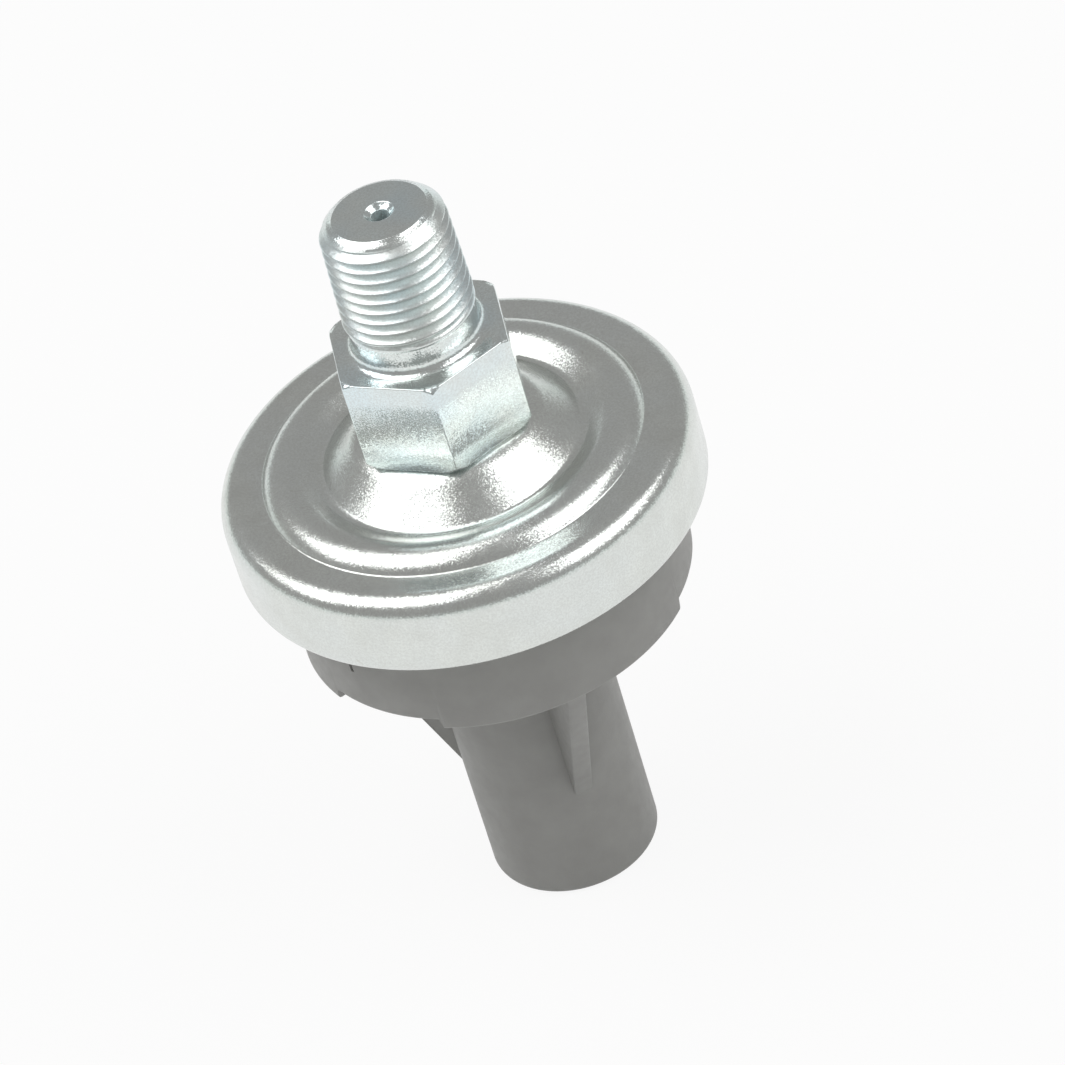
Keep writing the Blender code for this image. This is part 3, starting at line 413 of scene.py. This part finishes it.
def housing_rings(angles, flange_radius, flange_top):
    """Rings of the moulded housing from the socket's bottom out and up to its flange."""
    edge = tower_edge
    socket = tower_radius - tower_wall
    well = base_radius - base_wall
    flange_foot = flange_top - flange_thickness
    foot = skirt_foot_at(angles)
    from_slot = np.abs((np.degrees(angles) - slot_turn + 180) % 360 - 180)
    in_slot = from_slot < slot_half_turn + 0.02
    slot_radius = np.where(in_slot, base_radius - slot_depth, base_radius)
    slot_foot = flange_foot - slot_height
    partition_top = socket_depth + partition
    floor_top = tower_length + floor_thickness
    rings = [(shank_hole_radius, partition_top), (shank_hole_radius, socket_depth)]
    rings += [(socket - mould_fillet, socket_depth), (socket, socket_depth - mould_fillet)]
    rings += [(socket, socket_depth / 2), (socket, mould_fillet), (socket + mould_fillet, 0.0)]
    rings += arc((tower_radius - edge, edge), edge, -90, 0, 8)
    rings += [(tower_radius, tower_length * share) for share in (0.25, 0.5, 0.75)]
    fillet_height = tower_length - mould_fillet
    rings += arc((tower_radius + mould_fillet, fillet_height), mould_fillet, 180, 90, 4)
    rings += arc((well - mould_fillet, fillet_height), mould_fillet, 90, 0, 4)
    rings += [(well, foot + skirt_edge), (well + skirt_edge * 0.3, foot + skirt_edge * 0.3)]
    rings += [(well + skirt_edge, foot), (base_radius - skirt_edge, foot)]
    rings += [(base_radius - skirt_edge * 0.3, foot + skirt_edge * 0.3)]
    rings += [(base_radius, foot + skirt_edge), (base_radius, slot_foot)]
    rings += [(slot_radius, slot_foot + slot_width / 10), (slot_radius, flange_foot)]
    rings += [(flange_radius, flange_foot), (flange_radius, flange_top), (well, flange_top)]
    rings += [(well, floor_top), (throat_radius, floor_top), (throat_radius, partition_top)]
    return rings


def gusset_mesh(turn):
    """Triangular web from the tower to the skirt, its edges a little rounded."""
    well = base_radius - base_wall
    skirt_foot = tower_length - skirt_depth
    slope = (well - tower_radius) / (skirt_foot - gusset_foot)
    root = tower_radius - tower_wall / 2
    rim = well + base_wall / 2
    corners = [(root, gusset_foot - (tower_radius - root) / slope),
               (rim, skirt_foot + (rim - well) / slope), (rim, tower_length), (root, tower_length)]
    form = bmesh.new()
    sides = []
    for side in (-gusset_thickness / 2, gusset_thickness / 2):
        sides.append([form.verts.new((side, -r, z)) for r, z in corners])
    form.faces.new(sides[0])
    form.faces.new(sides[1][::-1])
    for index in range(len(corners)):
        after = (index + 1) % len(corners)
        form.faces.new((sides[0][index], sides[1][index], sides[1][after], sides[0][after]))
    bmesh.ops.bevel(form, geom=form.edges[:], offset=gusset_edge, segments=3, profile=0.5,
                    affect="EDGES")
    bmesh.ops.recalc_face_normals(form, faces=form.faces)
    bmesh.ops.rotate(form, verts=form.verts, cent=(0, 0, 0),
                     matrix=Matrix.Rotation(math.radians(turn), 3, "Z"))
    mesh_data = bpy.data.meshes.new("gusset_form")
    form.to_mesh(mesh_data)
    form.free()
    return mesh_data


def build_housing(plastic):
    """Housing: one turned shell with its skirt lobes and witness slot, and three gussets."""
    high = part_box("sender_housing")[1]
    slot_end = slot_half_turn + 0.04
    extra = [slot_turn + step for step in (-slot_end, -slot_half_turn, slot_half_turn, slot_end)]
    for lobe in range(lobe_count):
        middle = lobe_turn + 360.0 / lobe_count * lobe
        for side in (-1, 1):
            extra += [middle + side * lobe_width / 2 + step for step in lobe_edge_steps]
    angles = even_angles(240, extra)
    form = bmesh.new()
    rings = housing_rings(angles, high.x, high.z)
    shells = [ring_grid("housing_shell", rings, angles, closed=True)]
    for index in range(lobe_count):
        shells.append(gusset_mesh(lobe_turn + 360.0 / lobe_count * index))
    for shell in shells:
        form.from_mesh(shell)
        bpy.data.meshes.remove(shell)
    mesh_data = bpy.data.meshes.new("housing_skin")
    form.to_mesh(mesh_data)
    form.free()
    piece = new_piece("housing_skin", mesh_data, plastic, sharp_angle=50.0)
    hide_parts("sender_housing")


class Finish:
    """A procedural material: a Principled shader and short calls for the nodes that feed it."""

    def __init__(self, name):
        self.material = bpy.data.materials.new(name)
        self.material.use_nodes = True
        self.tree = self.material.node_tree
        self.shader = self.tree.nodes["Principled BSDF"]
        self.place = self.add("ShaderNodeTexCoord").outputs["Object"]

    def add(self, kind, **settings):
        """New node with some of its settings."""
        node = self.tree.nodes.new(kind)
        for key, value in settings.items():
            setattr(node, key, value)
        return node

    def link(self, output, target):
        """Connect an output to an input."""
        self.tree.links.new(output, target)

    def set(self, **values):
        """Constants on the shader's own sockets, by name with underscores for spaces."""
        for key, value in values.items():
            self.shader.inputs[key.replace("_", " ")].default_value = value

    def noise_node(self, size, detail, stretch=(1, 1, 1), roughness=0.5):
        """Noise node whose features are about size metres wide."""
        mapping = self.add("ShaderNodeMapping")
        mapping.inputs["Scale"].default_value = [1.0 / axis for axis in stretch]
        self.link(self.place, mapping.inputs["Vector"])
        texture = self.add("ShaderNodeTexNoise")
        texture.inputs["Scale"].default_value = 1.0 / size
        texture.inputs["Detail"].default_value = detail
        texture.inputs["Roughness"].default_value = roughness
        self.link(mapping.outputs["Vector"], texture.inputs["Vector"])
        return texture

    def noise(self, size, detail=3.0, stretch=(1, 1, 1), roughness=0.55):
        """Value from 0 to 1 that wanders over features about size metres wide."""
        return self.noise_node(size, detail, stretch, roughness).outputs["Fac"]

    def spread(self, value, low, high, to_low, to_high):
        """A value mapped from one range to another, clamped."""
        node = self.add("ShaderNodeMapRange")
        for key, number in zip(("From Min", "From Max", "To Min", "To Max"),
                               (low, high, to_low, to_high)):
            node.inputs[key].default_value = number
        self.link(value, node.inputs["Value"])
        return node.outputs["Result"]

    def combine(self, operation, first, second):
        """Sum, product or the like of an output and another output or a number."""
        node = self.add("ShaderNodeMath", operation=operation)
        self.link(first, node.inputs[0])
        if isinstance(second, float):
            node.inputs[1].default_value = second
        else:
            self.link(second, node.inputs[1])
        return node.outputs["Value"]

    def blend(self, share, first, second):
        """Colour between two colours, by a share from 0 to 1."""
        node = self.add("ShaderNodeMix", data_type="RGBA")
        self.link(share, node.inputs["Factor"])
        for value, key in ((first, "A"), (second, "B")):
            socket = [s for s in node.inputs if s.name == key and s.type == "RGBA"][0]
            if isinstance(value, tuple):
                socket.default_value = (*value, 1.0)
            else:
                self.link(value, socket)
        return [s for s in node.outputs if s.type == "RGBA"][0]

    def bump(self, height, distance, normal=None):
        """Bumped normal, where a height from 0 to 1 rises by distance in metres."""
        node = self.add("ShaderNodeBump")
        node.inputs["Strength"].default_value = 1.0
        node.inputs["Distance"].default_value = distance
        self.link(height, node.inputs["Height"])
        if normal is not None:
            self.link(normal, node.inputs["Normal"])
        return node.outputs["Normal"]

    def speckle(self, size, tilt):
        """Normal that leans at random from grain to grain, by about tilt in radians. The noise
        mostly keeps within an eighth of its middle value, a half."""
        texture = self.noise_node(size, detail=1.0)
        lean = self.add("ShaderNodeVectorMath", operation="MULTIPLY_ADD")
        self.link(texture.outputs["Color"], lean.inputs[0])
        lean.inputs[1].default_value = (tilt * 8,) * 3
        lean.inputs[2].default_value = (-tilt * 4,) * 3
        total = self.add("ShaderNodeVectorMath", operation="ADD")
        self.link(self.add("ShaderNodeNewGeometry").outputs["Normal"], total.inputs[0])
        self.link(lean.outputs["Vector"], total.inputs[1])
        unit = self.add("ShaderNodeVectorMath", operation="NORMALIZE")
        self.link(total.outputs["Vector"], unit.inputs[0])
        return unit.outputs["Vector"]

    def rounded(self, radius):
        """Normal that rounds the sharp edges of a solid by a small radius."""
        node = self.add("ShaderNodeBevel")
        node.samples = 4
        node.inputs["Radius"].default_value = radius
        return node.outputs["Normal"]

    def feed(self, key, output):
        """Connect an output to one of the shader's inputs."""
        self.link(output, self.shader.inputs[key])


def plating_roughness(finish, roughness):
    """Soft uneven gloss that is duller on the thread and lost inside the drilled port."""
    patch = finish.noise(0.0009, detail=5.0)
    gloss = finish.spread(patch, 0.3, 0.7, roughness * 0.85, roughness * 1.2)
    split = finish.add("ShaderNodeSeparateXYZ")
    finish.link(finish.place, split.inputs["Vector"])
    flat = finish.add("ShaderNodeCombineXYZ")
    finish.link(split.outputs["X"], flat.inputs["X"])
    finish.link(split.outputs["Y"], flat.inputs["Y"])
    reach = finish.add("ShaderNodeVectorMath", operation="LENGTH")
    finish.link(flat.outputs["Vector"], reach.inputs[0])
    from_axis = reach.outputs["Value"]
    bored = finish.spread(from_axis, port_radius * 1.02, port_radius * 1.06, port_dullness, 0)
    above = finish.spread(split.outputs["Z"], *thread_dull_heights, 0, thread_dullness)
    outside = finish.spread(from_axis, *thread_dull_radii, 0, 1)
    duller = finish.combine("MULTIPLY", above, outside)
    return finish.combine("ADD", finish.combine("ADD", gloss, bored), duller)


def plated_steel(name, light, dark, tint, roughness, grain_tilt):
    """Bright zinc plate: cloudy colour with a faint tint in patches, a fine darker grain, a few
    dull stains and a speckle of grains that lean at random."""
    grain_colour = (0.55, 0.555, 0.535)
    stain_colour = (0.5, 0.49, 0.43)
    finish = Finish(name)
    finish.set(Metallic=1.0)
    cloud = finish.noise(0.0026, detail=4.0)
    plate = finish.blend(finish.spread(cloud, 0.35, 0.65, 0, 1), light, dark)
    hue = finish.noise(0.0065, detail=2.0)
    plate = finish.blend(finish.spread(hue, 0.4, 0.62, 0, 0.8), plate, tint)
    fine = finish.spread(finish.noise(0.00016, detail=1.0), 0.35, 0.65, 0, 0.3)
    plate = finish.blend(fine, plate, grain_colour)
    spot = finish.noise(0.0011, detail=6.0, roughness=0.7)
    stain = finish.spread(spot, 0.65, 0.73, 0, 0.5)
    finish.feed("Base Color", finish.blend(stain, plate, stain_colour))
    finish.feed("Roughness", plating_roughness(finish, roughness))
    wave = finish.noise(0.0034, detail=2.0)
    speckle = finish.speckle(0.00012, grain_tilt)
    finish.feed("Normal", finish.bump(wave, 0.000004, normal=speckle))
    return finish.material


def moulded_plastic():
    """Satin grey nylon: faint cloudy tone, fine spark texture and slightly uneven gloss."""
    finish = Finish("moulded_grey")
    cloud = finish.noise(0.003, detail=5.0)
    light = (0.31, 0.309, 0.297)
    dark = (0.275, 0.273, 0.262)
    finish.feed("Base Color", finish.blend(finish.spread(cloud, 0.3, 0.7, 0, 1), light, dark))
    patch = finish.noise(0.0008, detail=4.0)
    finish.feed("Roughness", finish.spread(patch, 0.3, 0.7, 0.42, 0.56))
    finish.set(Specular_IOR_Level=0.45)
    grain = finish.noise(0.00012, detail=3.0)
    wave = finish.noise(0.0045, detail=1.0)
    normal = finish.bump(grain, 0.000009)
    finish.feed("Normal", finish.bump(wave, 0.000045, normal=normal))
    return finish.material


def plain_metal(name, light, dark, roughness, edge_radius=0.00009):
    """Inner metal part: drawn or turned surface with light streaks and rounded edges."""
    finish = Finish(name)
    finish.set(Metallic=1.0)
    streak = finish.noise(0.0003, detail=3.0, stretch=(6, 1, 1))
    finish.feed("Base Color", finish.blend(finish.spread(streak, 0.3, 0.7, 0, 1), light, dark))
    finish.feed("Roughness", finish.spread(streak, 0.3, 0.7, roughness * 0.8, roughness * 1.25))
    grain = finish.noise(0.00015, detail=2.0)
    finish.feed("Normal", finish.bump(grain, 0.0000045, normal=finish.rounded(edge_radius)))
    return finish.material


def soft_board(name, light, dark, roughness, size):
    """Rubber or laminate: mottled tone and a fine matt grain."""
    finish = Finish(name)
    mottle = finish.noise(size, detail=5.0)
    finish.feed("Base Color", finish.blend(finish.spread(mottle, 0.3, 0.7, 0, 1), light, dark))
    finish.feed("Roughness", finish.spread(mottle, 0.3, 0.7, roughness * 0.9, roughness * 1.1))
    grain = finish.noise(0.00019, detail=3.0)
    finish.feed("Normal", finish.bump(grain, 0.0000075, normal=finish.rounded(0.000075)))
    return finish.material


def dress_solids(frame):
    """Give every solid that still shows the finish of its material slot."""
    finishes = {
        "plated_inner": plain_metal("dull_zinc", (0.62, 0.64, 0.62), (0.5, 0.52, 0.5), 0.34),
        "spring_steel": plain_metal("oiled_steel", (0.52, 0.52, 0.53), (0.4, 0.4, 0.42), 0.3),
        "brass": plain_metal("satin_brass", (0.72, 0.55, 0.28), (0.6, 0.44, 0.2), 0.28),
        "bronze": plain_metal("phosphor_bronze", (0.62, 0.42, 0.27), (0.5, 0.32, 0.19), 0.32),
        "resistance_wire": plain_metal("alloy_wire", (0.52, 0.47, 0.42), (0.42, 0.38, 0.34), 0.4),
        "rubber": soft_board("black_rubber", (0.025, 0.025, 0.025), (0.015, 0.015, 0.015),
                             0.75, 0.00075),
        "phenolic": soft_board("brown_laminate", (0.36, 0.18, 0.09), (0.26, 0.12, 0.06),
                               0.5, 0.00045),
    }
    for subpart in frame["record"]["subparts"]:
        finish = finishes.get(subpart["material_slot"])
        if finish is None:
            continue
        solid = frame["nodes"][subpart["node"]]
        solid.data.materials.clear()
        solid.data.materials.append(finish)


def add_lamp(name, centre, across, deep, width, depth, radiance):
    """Rectangular softbox at a place, with its width along one direction and its depth along
    another. It gives the same radiance whatever its size."""
    across = Vector(across).normalized()
    deep = Vector(deep)
    deep = (deep - across * deep.dot(across)).normalized()
    facing = across.cross(deep)
    if facing.dot(Vector(centre)) < 0:
        deep = -deep
        facing = -facing
    light = bpy.data.lights.new(name, "AREA")
    light.shape = "RECTANGLE"
    light.size = width
    light.size_y = depth
    light.energy = radiance * math.pi * width * depth
    lamp = bpy.data.objects.new(name, light)
    bpy.context.scene.collection.objects.link(lamp)
    turn = Matrix((across, deep, facing)).transposed().to_4x4()
    lamp.matrix_world = Matrix.Translation(Vector(centre)) @ turn
    lamp.visible_camera = False


def add_lamps(cap_height):
    """Two large softboxes overhead, left and right."""
    for name, (turn, side, start, end, front, back) in lamps.items():
        angle = math.radians(turn)
        across = Vector((side * math.cos(angle), math.sin(angle), 0))
        deep = Vector((-side * math.sin(angle), math.cos(angle), 0))
        centre = across * (start + end) / 2 + deep * (front + back) / 2
        place = Vector((0, 0, cap_height)) + lamp_height * (centre + Vector((0, 0, 1)))
        add_lamp(name, place, across, deep, (end - start) * lamp_height,
                 (back - front) * lamp_height, lamp_radiance)


def build_world():
    """Studio walls: pale near the floor, mid grey above."""
    world = bpy.data.worlds.new("studio")
    bpy.context.scene.world = world
    world.use_nodes = True
    tree = world.node_tree
    background = tree.nodes["Background"]
    place = tree.nodes.new("ShaderNodeTexCoord")
    split = tree.nodes.new("ShaderNodeSeparateXYZ")
    ramp = tree.nodes.new("ShaderNodeValToRGB")
    grey = (surround_grey * 1.01, surround_grey, surround_grey * 0.99)
    for stop, rise, colour in zip(ramp.color_ramp.elements, surround_fade, (surround_pale, grey)):
        stop.position = rise
        stop.color = (*colour, 1)
    tree.links.new(place.outputs["Generated"], split.inputs["Vector"])
    tree.links.new(split.outputs["Z"], ramp.inputs["Fac"])
    tree.links.new(ramp.outputs["Color"], background.inputs["Color"])


def build_floor():
    """Plain white table. It glows a little for the camera and in reflections, so that it
    shows white and still keeps the part's shadow."""
    half = floor_half
    mesh_data = bpy.data.meshes.new("table")
    corners = [(-half, -half, 0), (half, -half, 0), (half, half, 0), (-half, half, 0)]
    mesh_data.from_pydata(corners, [], [(0, 1, 2, 3)])
    table = bpy.data.objects.new("table", mesh_data)
    bpy.context.scene.collection.objects.link(table)
    table.location.z = -floor_gap
    finish = Finish("table_white")
    finish.set(Roughness=0.8, Specular_IOR_Level=0.1)
    speck = finish.noise(0.01, detail=3.0)
    finish.feed("Base Color", finish.blend(speck, (0.86, 0.86, 0.86), (0.88, 0.88, 0.88)))
    glow = finish.add("ShaderNodeEmission")
    paths = finish.add("ShaderNodeLightPath").outputs
    seen = finish.combine("MAXIMUM", paths["Is Camera Ray"], paths["Is Glossy Ray"])
    either = finish.combine("MAXIMUM", seen, paths["Is Transmission Ray"])
    mix = finish.add("ShaderNodeMixShader")
    finish.link(finish.combine("MULTIPLY", either, floor_glow), mix.inputs["Fac"])
    finish.link(finish.shader.outputs[0], mix.inputs[1])
    finish.link(glow.outputs[0], mix.inputs[2])
    output = [n for n in finish.tree.nodes if n.type == "OUTPUT_MATERIAL"][0]
    finish.link(mix.outputs[0], output.inputs["Surface"])
    mesh_data.materials.append(finish.material)


def build_camera(cap_foot):
    """Camera at the photograph's viewing angle and distance."""
    view = math.radians(axis_to_view)
    lean = math.radians(axis_lean)
    forward = Vector((0, math.sin(view), -math.cos(view)))
    right = Vector((math.cos(lean), -math.cos(view) * math.sin(lean),
                    -math.sin(view) * math.sin(lean)))
    up = Vector((math.sin(lean), math.cos(view) * math.cos(lean),
                 math.sin(view) * math.cos(lean)))
    scale = view_depth / focal_pixels
    beside = (cap_foot_pixel[0] - photo_side / 2) * scale
    below = (cap_foot_pixel[1] - photo_side / 2) * scale
    place = Vector((0, 0, cap_foot)) - right * beside + up * below - forward * view_depth
    camera_data = bpy.data.cameras.new("camera")
    camera_data.sensor_fit = "HORIZONTAL"
    camera_data.sensor_width = sensor_width
    camera_data.lens = focal_pixels * sensor_width / photo_side
    camera_data.clip_start = 0.01
    camera_data.clip_end = 20.0
    camera = bpy.data.objects.new("camera", camera_data)
    bpy.context.scene.collection.objects.link(camera)
    facing = Matrix((right, up, -forward)).transposed().to_4x4()
    turn = Matrix.Rotation(math.radians(camera_turn), 4, "Z")
    camera.matrix_world = turn @ Matrix.Translation(place) @ facing
    bpy.context.scene.camera = camera


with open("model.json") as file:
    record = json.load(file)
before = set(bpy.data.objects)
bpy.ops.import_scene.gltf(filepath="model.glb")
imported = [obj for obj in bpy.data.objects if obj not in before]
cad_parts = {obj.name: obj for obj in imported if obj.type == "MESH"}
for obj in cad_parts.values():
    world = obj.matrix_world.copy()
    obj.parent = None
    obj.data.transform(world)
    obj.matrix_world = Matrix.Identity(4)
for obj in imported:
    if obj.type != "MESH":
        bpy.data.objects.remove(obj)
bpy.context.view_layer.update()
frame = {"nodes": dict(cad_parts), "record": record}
cap_low, cap_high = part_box("pressure_cap")
build_camera(cap_low.z)
build_world()
build_floor()
add_lamps(cap_high.z)
build_cap(plated_steel("cap_zinc", light=(0.755, 0.785, 0.755), dark=(0.705, 0.73, 0.7),
                       tint=(0.745, 0.78, 0.765), roughness=0.22, grain_tilt=0.04))
build_fitting(plated_steel("fitting_zinc", light=(0.82, 0.875, 0.855), dark=(0.77, 0.81, 0.795),
                           tint=(0.74, 0.85, 0.885), roughness=0.17, grain_tilt=0.035))
build_housing(moulded_plastic())
dress_solids(frame)
bpy.context.scene.view_settings.view_transform = "Standard"
